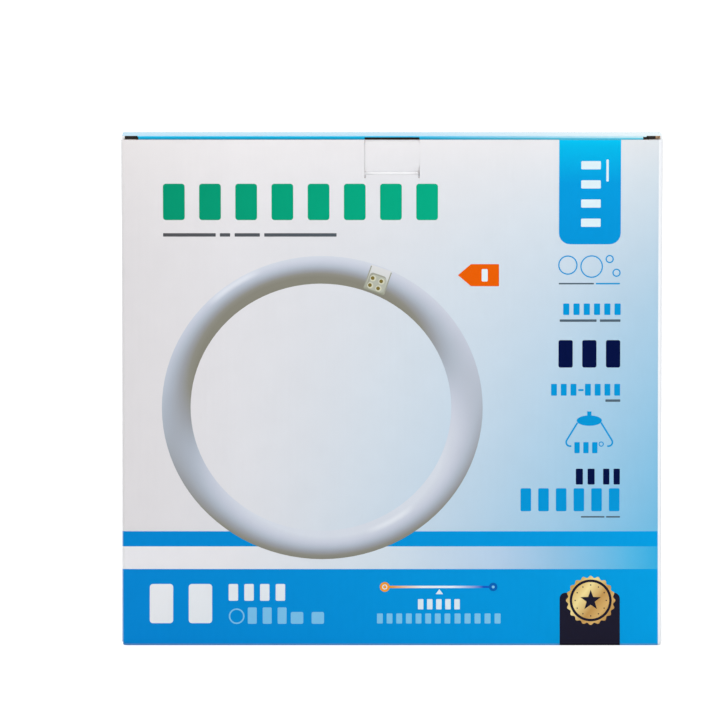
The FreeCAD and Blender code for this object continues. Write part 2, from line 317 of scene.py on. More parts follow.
# The middle ply of the board, a wavy paper between the liners. It shows in the two trenches: the
# top edge of the front panel, beside the lock tab, and the rear edge of the floor flap.
flute_pitch = 4.7 * MM
ply = 0.25 * MM
ply_sunk = 0.1 * MM


def add_flutes(name, left, right, middle, upright):
    """A strip of waves along X, let into the board from the middle of its cut edge."""
    size = (flute_pitch, 1, flute_depth) if upright else (flute_pitch, flute_depth, 1)
    bpy.ops.object.select_all(action="DESELECT")
    bpy.ops.mesh.primitive_grid_add(
        x_subdivisions=8,
        y_subdivisions=1,
        size=1,
        location=middle,
        rotation=(math.pi / 2 if upright else 0, 0, 0),
    )
    strip = bpy.context.object
    strip.name = name
    bpy.ops.object.transform_apply(location=True, rotation=True, scale=True)
    bpy.ops.object.mode_set(mode="EDIT")
    bpy.ops.transform.resize(value=size, center_override=middle)
    bpy.ops.transform.translate(value=(left + flute_pitch / 2, 0, 0))
    bpy.ops.object.mode_set(mode="OBJECT")
    swing = board / 2 - liner - ply / 2
    for vertex in strip.data.vertices:
        wave = swing * math.sin((vertex.co.x - left) / flute_pitch * math.tau)
        vertex.co[1 if upright else 2] += wave
    row = strip.modifiers.new("row", "ARRAY")
    row.use_relative_offset = False
    row.use_constant_offset = True
    row.constant_offset_displace = (flute_pitch, 0, 0)
    row.count = int((right - left) / flute_pitch)
    row.use_merge_vertices = True
    row.merge_threshold = 0.01 * MM
    paper = strip.modifiers.new("paper", "SOLIDIFY")
    paper.thickness = ply
    paper.offset = 0
    for modifier in ("row", "paper"):
        bpy.ops.object.modifier_apply(modifier=modifier)
    strip.data.materials.append(bpy.data.materials["bare_board"])
    bpy.ops.object.shade_smooth_by_angle(angle=math.radians(50))
    bulge(strip)
    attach(strip, "carton")


window_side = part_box("lock_tab")[1].x + 0.8 * MM
panel_end = half_width - 2 * fold
top_middle = Vector((0, front_y + board / 2, front_top - flute_depth / 2 - ply_sunk))
add_flutes("flute_ends_top_left", -panel_end, -window_side, top_middle, True)
add_flutes("flute_ends_top_right", window_side, panel_end, top_middle, True)
floor_edge_y = back_y - 1 * MM
rear_middle = Vector((0, floor_edge_y - flute_depth / 2 - ply_sunk, board / 2))
add_flutes("flute_ends_floor", -panel_end, panel_end, rear_middle, False)


# The finish of the board's liners. They are white coated paper glued over the flutes, printed
# in flat inks and varnished. The flutes show through as a faint washboard, over a fine fibre
# relief, and the print is made paler on the upright folds and along the front panel's foot, as
# wear together with a painted highlight on the rounded folds.
ACROSS = (1, 0, 0)
UP = (0, 0, 1)
washboard_height = 0.035 * MM
fibre_height = 0.006 * MM
fold_wear_and_sheen_width = 1.1 * MM
foot_wear_and_sheen_height = 1.6 * MM


def tone(red, green, blue):
    """A print colour in steps of 0 to 255, as the linear values that a shader takes."""
    steps = [step / 255 for step in (red, green, blue)]
    return [s / 12.92 if s <= 0.04045 else ((s + 0.055) / 1.055) ** 2.4 for s in steps] + [1.0]


def feed(tree, socket, value):
    """Join a value to a socket, or set a plain number or colour on it."""
    if isinstance(value, bpy.types.NodeSocket):
        tree.links.new(value, socket)
    else:
        socket.default_value = value


def reckon(tree, operation, *values):
    """One sum on those values."""
    node = tree.nodes.new("ShaderNodeMath")
    node.operation = operation
    for socket, value in zip(node.inputs, values):
        feed(tree, socket, value)
    return node.outputs["Value"]


def reach_along(tree, place, direction):
    """How far a point lies along a direction."""
    node = tree.nodes.new("ShaderNodeVectorMath")
    node.operation = "DOT_PRODUCT"
    node.inputs[1].default_value = direction
    tree.links.new(place, node.inputs[0])
    return node.outputs["Value"]


def spread(tree, value, start, end, low=0.0, high=1.0, smooth=False):
    """Turn a value that runs from start to end into one that runs from low to high."""
    node = tree.nodes.new("ShaderNodeMapRange")
    node.interpolation_type = "SMOOTHSTEP" if smooth else "LINEAR"
    node.inputs["From Min"].default_value = start
    node.inputs["From Max"].default_value = end
    node.inputs["To Min"].default_value = low
    node.inputs["To Max"].default_value = high
    tree.links.new(value, node.inputs["Value"])
    return node.outputs["Result"]


def speckle(tree, place, scale, detail):
    """A random cloud of values from 0 to 1."""
    node = tree.nodes.new("ShaderNodeTexNoise")
    node.inputs["Scale"].default_value = scale
    node.inputs["Detail"].default_value = detail
    tree.links.new(place, node.inputs["Vector"])
    return node.outputs["Fac"]


def relief(tree, pattern, height, over=None):
    """Bumps of a pattern, of that height, over another relief."""
    node = tree.nodes.new("ShaderNodeBump")
    node.inputs["Distance"].default_value = height
    tree.links.new(pattern, node.inputs["Height"])
    if over is not None:
        tree.links.new(over, node.inputs["Normal"])
    return node.outputs["Normal"]


def fill_blend(blend, stops):
    """Put (place, colour) stops on a colour ramp."""
    row = blend.color_ramp.elements
    while len(row) < len(stops):
        row.new(0.5)
    for mark, (place, colour) in zip(row, stops):
        mark.position = place
        mark.color = tone(*colour)


def colour_by(tree, value, stops):
    """The colour that a value from 0 to 1 picks from a ramp."""
    node = tree.nodes.new("ShaderNodeValToRGB")
    fill_blend(node, stops)
    tree.links.new(value, node.inputs["Fac"])
    return node.outputs["Color"]


def lay_over(tree, under, over, share, way="MIX"):
    """One colour laid over another, as far as the share says."""
    node = tree.nodes.new("ShaderNodeMix")
    node.data_type = "RGBA"
    node.blend_type = way
    feed(tree, node.inputs["Factor"], share)
    feed(tree, node.inputs["A"], under)
    feed(tree, node.inputs["B"], over)
    return node.outputs["Result"]


def board_finish(
    name, flutes="X", gloss_low=0.36, gloss_high=0.5, shine=0.04, wear_and_sheen=0.75, foot=0,
):
    """A coated liner: its material, its Object coordinates and the socket that takes the
    print colour. The colour is clouded very slightly, as ink is on board."""
    material = bpy.data.materials.get(name) or bpy.data.materials.new(name)
    material.use_nodes = True
    tree = material.node_tree
    join = tree.links.new
    shader = tree.nodes["Principled BSDF"]
    shader.inputs["Specular IOR Level"].default_value = shine
    place = tree.nodes.new("ShaderNodeTexCoord").outputs["Object"]

    washboard = tree.nodes.new("ShaderNodeTexWave")
    washboard.bands_direction = flutes
    washboard.inputs["Scale"].default_value = math.pi / 10 / flute_pitch
    washboard.inputs["Distortion"].default_value = 0.5
    washboard.inputs["Detail"].default_value = 1
    washboard.inputs["Detail Scale"].default_value = 0.3
    join(place, washboard.inputs["Vector"])
    ridges = relief(tree, washboard.outputs["Fac"], washboard_height)
    grain = relief(tree, speckle(tree, place, 1400, 3), fibre_height, ridges)
    join(grain, shader.inputs["Normal"])

    cloud = speckle(tree, place, 60, 5)
    join(spread(tree, cloud, 0, 1, gloss_low, gloss_high), shader.inputs["Roughness"])
    ink = tree.nodes.new("ShaderNodeMix")
    ink.data_type = "RGBA"
    ink.blend_type = "MULTIPLY"
    ink.inputs["Factor"].default_value = 1
    join(spread(tree, cloud, 0, 1, 0.965, 1.02), ink.inputs["B"])

    # Paler towards the upright folds and the panel's foot: partly wear, partly a painted
    # highlight.
    outwards = reckon(tree, "ABSOLUTE", reach_along(tree, place, ACROSS))
    on_fold = spread(tree, outwards, half_width - fold_wear_and_sheen_width, half_width, 0, wear_and_sheen)
    at_foot = spread(tree, reach_along(tree, place, UP), foot_wear_and_sheen_height, 0, 0, foot)
    most = reckon(tree, "MAXIMUM", on_fold, at_foot)
    wear_and_sheen_colour = lay_over(tree, ink.outputs["Result"], tone(246, 248, 250), most)
    join(wear_and_sheen_colour, shader.inputs["Base Color"])
    return material, place, ink.inputs["A"]


def colour_along(finish, stops, direction=ACROSS, start=-half_width, end=half_width):
    """Print a finish with a blend of colours along a direction, from its start (0) to its
    end (1). Without them it runs from the left edge of the panel to its right edge."""
    material, place, ink = finish
    tree = material.node_tree
    share = spread(tree, reach_along(tree, place, direction), start, end)
    tree.links.new(colour_by(tree, share, stops), ink)
    return material


# The front ground runs from a warm white at the top left to sky blue at the lower right.
ground_curve = 2.2
glare_foot = 200 * MM
ground, place, ink = board_finish("front_ground")
tree = ground.node_tree
height = reach_along(tree, place, UP)
rightward = spread(tree, reach_along(tree, place, ACROSS), -half_width, half_width)
swell = reckon(tree, "POWER", rightward, ground_curve)
downward = spread(tree, height, front_top, stripe_top, 0.05)
sky_blue = colour_by(tree, reckon(tree, "MULTIPLY", swell, downward), [
    (0, (221, 219, 222)), (0.13, (208, 217, 226)), (0.44, (175, 205, 226)), (1, (112, 188, 226)),
])
glare = reckon(tree, "POWER", spread(tree, height, glare_foot, front_top), ground_curve)
lighter = lay_over(tree, sky_blue, (1.11, 1.1, 1.08, 1), glare, "MULTIPLY")
duller_sides = colour_by(tree, rightward, [
    (0, (248, 247, 246)), (0.22, (255, 255, 255)), (0.8, (255, 255, 255)), (1, (246, 250, 251)),
])
tree.links.new(lay_over(tree, lighter, duller_sides, 1, "MULTIPLY"), ink)

# The other prints run from edge to edge of the panel, and the sides and the back are white.
colour_along(board_finish("front_stripe"), [(0, (0, 130, 203)), (1, (0, 156, 223))])
colour_along(board_finish("front_pale_band"), [
    (0.2, (226, 225, 228)), (0.48, (209, 220, 229)), (0.7, (181, 206, 229)),
    (0.8, (150, 195, 225)), (0.94, (86, 182, 226)), (1, (45, 170, 222)),
])
colour_along(board_finish("front_foot_band", foot=0.25), [(0, (1, 130, 204)), (1, (0, 157, 223))])
colour_along(board_finish("floor_blue"), [(0, (1, 130, 204)), (1, (0, 157, 223))])
colour_along(board_finish("ribbon_black"), [(0, (30, 28, 45)), (1, (30, 28, 45))])
for name, flutes, wear_and_sheen in (("white_board_across", "X", 0.75), ("white_board_along", "Y", 0)):
    white = board_finish(name, flutes, wear_and_sheen=wear_and_sheen)
    colour_along(white, [(0, (233, 234, 236)), (1, (236, 239, 243))])

# The lid's blue is painted darker near the foot of its front fold, as painted shade where the fold
# meets the panel's top edge, and it pales towards the right.
pale_start = 10 * MM
lid_blue, place, ink = board_finish("lid_blue", gloss_low=0.14, gloss_high=0.22, shine=0.45)
tree = lid_blue.node_tree
over_fold = spread(tree, reach_along(tree, place, UP), front_top, top_z)
blue_with_fold_shade = colour_by(tree, over_fold, [
    (0, (64, 196, 238)), (0.22, (14, 148, 194)), (0.8, (6, 196, 244)), (1, (104, 204, 242)),
])
pale = colour_by(tree, over_fold, [
    (0, (30, 214, 254)), (0.29, (98, 214, 244)), (0.58, (198, 246, 254)), (1, (218, 244, 252)),
])
paleness = spread(tree, reach_along(tree, place, ACROSS), pale_start, half_width)
tree.links.new(lay_over(tree, blue_with_fold_shade, pale, paleness), ink)

# Bare board: kraft brown with short fibres and dark flecks, quite matt.
bare = bpy.data.materials["bare_board"]
bare.use_nodes = True
tree = bare.node_tree
join = tree.links.new
shader = tree.nodes["Principled BSDF"]
shader.inputs["Roughness"].default_value = 0.85
stretch = tree.nodes.new("ShaderNodeMapping")
stretch.inputs["Scale"].default_value = (1, 1, 0.35)
join(tree.nodes.new("ShaderNodeTexCoord").outputs["Object"], stretch.inputs["Vector"])
fibres = speckle(tree, stretch.outputs["Vector"], 700, 6)
kraft = colour_by(tree, fibres, [
    (0.32, (120, 92, 66)), (0.5, (172, 138, 103)), (0.72, (200, 170, 136)),
])
join(kraft, shader.inputs["Base Color"])
join(relief(tree, fibres, 0.03 * MM), shader.inputs["Normal"])

# The cut edges in the slits and in the tab's slot are painted nearly black, as painted shade.
painted_slit_shade = bare.copy()
painted_slit_shade.name = "painted_shade_edge"
blend = next(node for node in painted_slit_shade.node_tree.nodes if node.type == "VALTORGB")
fill_blend(blend, [(0.32, (22, 18, 16)), (0.5, (40, 33, 29)), (0.72, (58, 48, 40))])
shell.material_slots[FINISHES.index("shaded_edge")].material = painted_slit_shade


# The lock tab. It is cut out of the front panel on three sides and creased at its foot, with
# a tongue that bends in under the lid. Printed outside like the panel, brown inside.
tab = copy_of_node("lock_tab", "lock_tab_board")
tab_low, tab_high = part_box("lock_tab")
cut_along(tab, 0, [step * 3 * MM for step in range(-5, 6)])
cut_along(tab, 2, [tab_low.z + step * 1.5 * MM for step in range(1, 7)])
for finish in ("front_ground", "bare_board"):
    tab.data.materials.append(bpy.data.materials[finish])
print_foot = tab_low.z + 0.8 * MM
for face in tab.data.polygons:
    outer = face.normal.y < -0.3 or face.normal.z > 0.3
    printed = outer and face.center.z > print_foot
    face.material_index = 0 if printed and abs(face.normal.x) < 0.5 else 1
    face.use_smooth = True
only(tab)
bpy.ops.object.shade_smooth_by_angle(angle=math.radians(35))

# The tab's outer face is crushed back towards its crease, more at the right-hand corner, and
# its sides stand a little wider than the cut.
crease_z = frame["joints"][0]["pos_m"][2]
crush_height = 9 * MM
crush_depth = 1.2 * MM
corner_size = 6 * MM
corner_depth = 0.3 * MM
wider_right = 0.46 * MM
wider_left = 0.33 * MM
corner_pull = 0.25 * MM
for vertex in tab.data.vertices:
    place = vertex.co
    outer = min(max((tab_low.y + board - place.y) / board, 0), 1)
    rise = min((place.z - crease_z) / crush_height, 1)
    off_corner = math.hypot(place.x - tab_high.x, place.z - crease_z)
    corner = max(1 - off_corner / corner_size, 0)
    place.y += outer * (crush_depth * (1 - rise) ** 3 + corner_depth * corner ** 1.5)
    wider = wider_right - corner_pull * corner if place.x > 0 else wider_left
    place.x += wider * place.x / tab_high.x
bulge(tab)
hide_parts("lock_tab")
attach(tab, "lock_tab")

# The bead at the tab's crease. The front liner isn't cut there: the fold raises it in a round
# bead of stretched white paper.
bead_y = front_y + 0.35 * MM
bead_z = crease_z + 0.5 * MM
bead_size = (tab_high.x - tab_low.x, 0.7 * MM, 0.6 * MM)
bead_foot = bead_z - 1.4 * MM
bead_top = bead_z + 0.6 * MM
bead_sag = 1.4
bead_past_left = 0.45 * MM
bpy.ops.object.select_all(action="DESELECT")
bpy.ops.mesh.primitive_cylinder_add(
    vertices=24,
    radius=1,
    depth=1,
    location=(0, bead_y, bead_z),
    rotation=(0, math.pi / 2, 0),
)
bead = bpy.context.object
bead.name = "crease_bead"
bpy.ops.object.transform_apply(location=True, rotation=True, scale=True)
bpy.ops.object.mode_set(mode="EDIT")
bpy.ops.transform.resize(value=bead_size, center_override=(0, bead_y, bead_z))
bpy.ops.object.mode_set(mode="OBJECT")
for vertex in bead.data.vertices:
    if vertex.co.z < bead_z:
        vertex.co.z -= bead_sag * (bead_z - vertex.co.z)
    if vertex.co.x < 0:
        vertex.co.x -= bead_past_left
cut_along(bead, 0, [step * grid_step for step in range(-1, 2)])
for face in bead.data.polygons:
    face.use_smooth = abs(face.normal.x) < 0.5
bead.data.materials.clear()
# The bead's liner is painted lighter on its upper half and darker on its lower half, as painted
# light and shade.
bead.data.materials.append(colour_along(
    board_finish("bead_liner_painted_light", "Y"),
    [(0.1, (224, 224, 226)), (0.4, (222, 222, 225)), (0.7, (246, 246, 248))],
    UP, bead_foot, bead_top,
))
bulge(bead)
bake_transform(bead)


# The print on the front panel. Each patch of ink is a sheet 0.04 mm proud of the liner, with its
# foot sunk in the board. Words and figures are plain rounded blocks of the same colour and size.
ink_height = 0.04 * MM
letter_share = 0.6
print_step = 16 * MM


def start_print(name):
    """An empty piece in edit mode, for shapes of one ink."""
    bpy.ops.object.select_all(action="DESELECT")
    bpy.ops.mesh.primitive_plane_add(size=MM)
    piece = bpy.context.object
    piece.name = name
    bpy.ops.object.mode_set(mode="EDIT")
    bpy.ops.mesh.delete(type="VERT")
    return piece


def bring_to_size(across, up, wide, tall, tilt=0.0):
    """Size the new shape, one metre wide and tall, about its own middle, and tilt it."""
    middle = (across * MM, front_y, up * MM)
    bpy.ops.transform.resize(value=(wide * MM, 1, tall * MM), center_override=middle)
    if tilt:
        bpy.ops.transform.rotate(value=tilt, orient_axis="Y", center_override=middle)


def add_block(left, right, foot, top, corner, tilt=0.0):
    """A block in millimetres on the panel's face, with rounded corners."""
    across = (left + right) / 2
    up = (foot + top) / 2
    bpy.ops.mesh.primitive_plane_add(
        size=1, location=(across * MM, front_y, up * MM), rotation=(math.pi / 2, 0, 0),
    )
    bring_to_size(across, up, right - left, top - foot, tilt)
    bpy.ops.mesh.bevel(offset=corner * MM, affect="VERTICES", segments=5)


def add_word(left, right, foot, top, letters):
    """A row of equal blocks in place of a word, as dark as its letters, in millimetres."""
    pitch = (right - left) / (letters - 1 + letter_share)
    for letter in range(letters):
        start = left + letter * pitch
        add_block(start, start + letter_share * pitch, foot, top, 0.08 * pitch)


def add_disc(across, up, wide, tall, corners=48, tilt=0.0):
    """A round or oval patch with these half sizes in millimetres, or a triangle."""
    bpy.ops.mesh.primitive_circle_add(
        vertices=corners,
        radius=1,
        fill_type="NGON",
        location=(across * MM, front_y, up * MM),
        rotation=(math.pi / 2, 0, 0),
    )
    bring_to_size(across, up, wide, tall, tilt)


def add_ring(across, up, radius, line):
    """A thin round line, in millimetres."""
    add_disc(across, up, radius, radius)
    bpy.ops.mesh.inset(thickness=line * MM)
    bpy.ops.mesh.delete(type="FACE")


def end_print(piece, material, layer=1):
    """Give the shapes their thickness, lay them on the bulged panel and ride the carton."""
    bpy.ops.mesh.select_all(action="SELECT")
    bpy.ops.transform.translate(value=(0, -ink_height * layer, 0))
    bpy.ops.object.mode_set(mode="OBJECT")
    cut_along(piece, 0, [step * print_step for step in range(-10, 11)])
    cut_along(piece, 2, [step * print_step for step in range(1, 20)])
    depth = piece.modifiers.new("depth", "SOLIDIFY")
    depth.thickness = ink_height * (layer + 1)
    depth.offset = -1
    bpy.ops.object.modifier_apply(modifier="depth")
    piece.data.materials.clear()
    piece.data.materials.append(material)
    bulge(piece)
    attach(piece, "carton")


def ink_of(name, left, right=None):
    """An ink that keeps one colour, or runs to a second colour at the panel's right edge."""
    return colour_along(board_finish(name), [(0, left), (1, right or left)])


# The corner label hangs from the top edge of the panel. It is blue ink, lighter at the top,
# with a column of white blocks over it that stands for two words set upright.
label = start_print("corner_label")
add_block(101.8, 139.5, 246.1, 325, 6.8)
bpy.ops.mesh.select_all(action="SELECT")
bpy.ops.mesh.bisect(plane_co=(0, 0, front_top), plane_no=(0, 0, 1), clear_outer=True)
label_ink = colour_along(
    board_finish("label_blue"),
    [(0, (0, 144, 211)), (0.58, (0, 151, 216)), (0.94, (0, 181, 229)), (1, (0, 192, 238))],
    UP, 246 * MM, front_top,
)
end_print(label, label_ink)

label_words = start_print("label_words")
for middle in (259.3, 271, 282.7, 294.4):
    add_block(115.3, 127.2, middle - 2.5, middle + 2.5, 0.6)
add_block(130.6, 132, 284.5, 297.9, 0.4)
end_print(label_words, ink_of("ink_white", (228, 228, 230), (216, 236, 243)), 2)

# The mark at the upper left, in a green ink that turns lighter to the right, and the small
# dark words below it and in the column at the right.
mark = start_print("green_mark")
add_word(-139.6, 28, 260.9, 283.1, 8)
end_print(mark, ink_of("ink_green", (0, 140, 103), (0, 184, 143)))

dark_words = start_print("dark_words")
for left, right, foot, top in (
    (-139.6, -107.5, 250.8, 252.9), (-105, -98.7, 250.8, 252.9), (-96, -80.6, 250.8, 252.9),
    (-77.9, -33.8, 250.8, 252.9), (101.8, 123.2, 221.6, 222.5), (102.4, 124.9, 198.7, 200.2),
    (126.9, 139.5, 198.7, 200.2), (130.4, 139.5, 149.7, 151.2), (115.5, 129.9, 78.7, 79.6),
    (130.9, 139.4, 78.7, 79.6),
):
    add_block(left, right, foot, top, 0.3)
end_print(dark_words, ink_of("ink_dark", (80, 78, 80), (80, 100, 114)))

# The energy arrow: a block with a point at its left, in orange ink, and a pale block printed
# over it.
arrow = start_print("energy_arrow")
add_block(48.2, 65.3, 220.5, 234, 0.4)
add_disc(45.53, 227.25, 7.79, 5.33, 3, math.pi / 2)
end_print(arrow, ink_of("ink_orange", (228, 92, 0)))
arrow_block = start_print("energy_arrow_block")
add_block(54.7, 58.4, 223.4, 231, 0.7)
end_print(arrow_block, bpy.data.materials["ink_white"], 2)

# The right-hand column of facts, in blue and navy ink, all set to one right-hand edge, with a
# figure of four thin rings at its top.
blue_words = start_print("blue_words")
add_word(104.5, 139.6, 202.9, 209.9, 6)
add_word(97.2, 112.7, 153.5, 160.7, 3)
add_block(113.8, 117.1, 156.3, 157.5, 0.4)
add_word(117.9, 139.4, 153.5, 160.7, 4)
add_word(111.5, 125.6, 118.2, 125, 3)
add_ring(127.9, 123.8, 1.6, 0.6)
add_word(78.6, 139.1, 82.6, 96.7, 6)
add_block(124.4, 139.1, 221.6, 222.5, 0.3)
for across, up, radius in (
    (107.3, 233.4, 5.9), (121.8, 232.5, 6.9), (132.8, 237.1, 2.5), (137, 228.7, 2.5),
):
    add_ring(across, up, radius, 0.75)
end_print(blue_words, ink_of("ink_blue", (0, 144, 208), (0, 147, 211)))

navy_words = start_print("navy_words")
add_word(101.7, 139.4, 170.7, 187.5, 3)
add_word(112.4, 123.9, 99, 108.7, 2)
add_word(129.1, 139.3, 99, 108.7, 2)
end_print(navy_words, ink_of("ink_navy", (0, 13, 64)))

# The lamp sign, in the same blue: a pendant shade, and two thin beams that spread from its ends
# and curl in at the foot.
lamp_sign = start_print("lamp_sign")
sign_across = 120.6
beam_off = 10.5
beam_lean = math.radians(31.5)
beam_length = 12.6
beam_width = 1
beam_up = 131.55
beam_curl = 2.4
for side in (-1, 1):
    beam_middle = sign_across + side * beam_off
    bpy.ops.mesh.primitive_plane_add(
        size=1, location=(beam_middle * MM, front_y, beam_up * MM), rotation=(math.pi / 2, 0, 0),
    )
    bring_to_size(beam_middle, beam_up, beam_width, beam_length, side * beam_lean)
    foot_across = beam_middle + side * beam_length / 2 * math.sin(beam_lean)
    foot_up = beam_up - beam_length / 2 * math.cos(beam_lean)
    bpy.ops.mesh.select_all(action="DESELECT")
    bpy.ops.object.mode_set(mode="OBJECT")
    for vertex in lamp_sign.data.vertices:
        off = Vector((foot_across * MM - vertex.co.x, foot_up * MM - vertex.co.z))
        vertex.select = off.length < 0.6 * beam_width * MM
    bpy.ops.object.mode_set(mode="EDIT")
    curl_middle = (
        (foot_across - side * beam_curl * math.cos(beam_lean)) * MM,
        front_y,
        (foot_up - beam_curl * math.sin(beam_lean)) * MM,
    )
    bpy.ops.mesh.spin(
        steps=9, angle=-side * math.radians(140), center=curl_middle, axis=(0, 1, 0),
    )
add_disc(sign_across, 138.2, 7.7, 3.2)
add_block(119.3, 121.9, 141.4, 143.8, 0.2)
end_print(lamp_sign, bpy.data.materials["ink_blue"])

# The foot band carries white and pale blocks, and a colour scale from warm to cool. The scale
# is a thin bar with a round spot at each end.
white_words = start_print("foot_white_words")
add_word(-148, -109.9, 13.8, 37.9, 2)
add_word(-99.8, -65.3, 27.6, 37.9, 4)
add_word(15.9, 41.5, 22.3, 28.6, 5)
add_disc(29, 32.7, 2.6, 2.05, 3)
end_print(white_words, bpy.data.materials["ink_white"])
pale_words = start_print("foot_pale_words")
add_ring(-94.9, 18.1, 4.8, 0.9)
add_word(-88.1, -64.4, 13.4, 23.5, 3)
add_word(-61.8, -41.5, 13.4, 20.7, 2)
add_word(-9.1, 35.7, 13.6, 19.8, 8)
add_word(38.3, 66.4, 13.6, 19.8, 5)
end_print(pale_words, ink_of("ink_pale", (120, 186, 226), (128, 200, 232)))

scale_bar = start_print("scale_bar")
add_block(-3, 61, 35.4, 36.8, 0.2)
bar_ink = colour_along(
    board_finish("scale_colours"),
    [
        (0.05, (236, 150, 50)), (0.35, (240, 238, 232)), (0.62, (232, 238, 244)),
        (0.92, (20, 90, 190)),
    ],
    ACROSS, -3 * MM, 61 * MM,
)
end_print(scale_bar, bar_ink)
warm_dot = start_print("scale_warm_dot")
add_disc(-4.4, 36.1, 3, 3)
end_print(warm_dot, ink_of("ink_amber", (238, 152, 48)), 2)
warm_eye = start_print("scale_warm_eye")
add_ring(-4.4, 36.1, 1.6, 0.6)
end_print(warm_eye, bpy.data.materials["ink_white"], 3)
cool_dot = start_print("scale_cool_dot")
add_disc(61.9, 36.1, 2.6, 2.6)
end_print(cool_dot, ink_of("ink_cool", (6, 96, 178)), 2)
cool_eye = start_print("scale_cool_eye")
add_disc(61.9, 36.1, 0.9, 0.9, 12)
end_print(cool_eye, bpy.data.materials["ink_pale"], 3)

# The award ribbon, in black ink down to the foot fold, and the gold seal on it. The seal is
# printed in layers: a scalloped rim, a dark ring, a gold face, and a plain star among dots.
ribbon_print = start_print("ribbon_print")
add_block(102.5, 139.3, -10, 32.5, 3.5)
bpy.ops.mesh.select_all(action="SELECT")
bpy.ops.mesh.bisect(plane_co=(0, 0, fold - 0.4 * MM), plane_no=(0, 0, 1), clear_inner=True)
end_print(ribbon_print, bpy.data.materials["ribbon_black"])
seal_across = 121.5
seal_up = 27.8
seal_middle = Vector((seal_across * MM, front_y, seal_up * MM))
scallops = 20
scallop_share = 0.045
seal_rim = start_print("seal_rim")
add_disc(seal_across, seal_up, 14.5, 14.5, scallops * 8)
bpy.ops.object.mode_set(mode="OBJECT")
for corner in seal_rim.data.vertices:
    arm = corner.co - seal_middle
    turn = math.atan2(arm.z, arm.x)
    corner.co = corner.co + arm * scallop_share * math.cos(turn * scallops)
bpy.ops.object.mode_set(mode="EDIT")
gold = colour_along(
    board_finish("ink_gold"),
    [
        (0, (206, 158, 76)), (0.3, (244, 222, 152)), (0.62, (196, 150, 84)),
        (0.82, (218, 176, 108)), (1, (190, 142, 78)),
    ],
    (0.8, 0, -0.6), 66 * MM, 95 * MM,
)
end_print(seal_rim, gold, 2)
seal_ring = start_print("seal_ring")
add_disc(seal_across, seal_up, 12.85, 12.85, 64)
end_print(seal_ring, bpy.data.materials["ribbon_black"], 3)
seal_face = start_print("seal_face")
add_disc(seal_across, seal_up, 11.3, 11.3, 64)
end_print(seal_face, gold, 4)
seal_star = start_print("seal_star")
star_points = 5
star_cut = 0.6
add_disc(seal_across, seal_up, 6.6, 6.6, 2 * star_points)
bpy.ops.object.mode_set(mode="OBJECT")
for corner in seal_star.data.vertices:
    arm = corner.co - seal_middle
    step = round(math.atan2(arm.x, arm.z) / math.pi * star_points)
    if step % 2:
        corner.co = corner.co - arm * star_cut
bpy.ops.object.mode_set(mode="EDIT")
for dot in range(12):
    turn = dot / 12 * math.tau
    add_disc(seal_across + 9.5 * math.sin(turn), seal_up + 9.5 * math.cos(turn), 0.4, 0.4, 12)
end_print(seal_star, bpy.data.materials["ribbon_black"], 5)


# The picture of the ring lamp. It is a wide oval loop, printed as a white glass tube lit from
# above: light on what faces up, olive grey in the shade below, with a pale four-pin connector.
ring_across = -42.6
ring_up = 146.1
ring_wide = 98
ring_tall = 92.9
tube = 17.75
ring = start_print("ring_picture")
add_disc(ring_across, ring_up, ring_wide, ring_tall, 96)
ring_middle = (ring_across * MM, front_y, ring_up * MM)
loops = 6
loop_shift = (-0.135 * MM, 0, 0.04 * MM)
loop_stretch = (0.9989, 1, 1.0012)
for _ in range(loops):
    bpy.ops.mesh.inset(thickness=tube / loops * MM)
    bpy.ops.transform.translate(value=loop_shift)
    bpy.ops.transform.resize(value=loop_stretch, center_override=ring_middle)
bpy.ops.mesh.delete(type="FACE")
glass, place, ink = board_finish("ring_glass")
tree = glass.node_tree
join = tree.links.new
centred = tree.nodes.new("ShaderNodeMapping")
centred.vector_type = "TEXTURE"
centred.inputs["Location"].default_value = (ring_across * MM, 0, ring_up * MM)
centred.inputs["Scale"].default_value = (ring_wide * MM, 1e6, ring_tall * MM)
join(place, centred.inputs["Vector"])
reach = tree.nodes.new("ShaderNodeVectorMath")
reach.operation = "LENGTH"
join(centred.outputs["Vector"], reach.inputs[0])
round_tube = spread(tree, reach.outputs["Value"], 1 - tube / ring_wide, 1, -1)
heading = tree.nodes.new("ShaderNodeVectorMath")
heading.operation = "NORMALIZE"
join(centred.outputs["Vector"], heading.inputs[0])
outward = heading.outputs["Vector"]
lit = reach_along(tree, outward, (-0.135, 0, 0.62))
lean = reach_along(tree, outward, (0.114, 0, -0.136))
rounded = reckon(tree, "MULTIPLY_ADD", lit, round_tube, lean)
finished = colour_by(tree, spread(tree, rounded, -0.47, 0.53), [
    (0, (132, 130, 118)), (0.15, (138, 137, 128)), (0.3, (152, 155, 160)), (0.42, (166, 173, 184)),
    (0.5, (176, 184, 196)), (0.62, (189, 195, 208)), (0.75, (199, 204, 216)),
    (0.9, (206, 211, 221)), (1, (211, 216, 225)),
])
glint_end = 0.975
glint_strength = 0.45
glint_width = 0.32
for glint_across, glint_up, glint_radius in ((0.503, -0.864, -0.5), (-0.567, 0.824, 0.75)):
    toward_glint = reach_along(tree, outward, (glint_across, 0, glint_up))
    near = spread(tree, toward_glint, glint_end, 1, 0, glint_strength, smooth=True)
    away = reckon(tree, "ABSOLUTE", reckon(tree, "SUBTRACT", round_tube, glint_radius))
    band = spread(tree, away, glint_width, 0, smooth=True)
    glint = reckon(tree, "MULTIPLY", near, band)
    finished = lay_over(tree, finished, tone(238, 241, 246), glint)
join(finished, ink)
end_print(ring, glass)

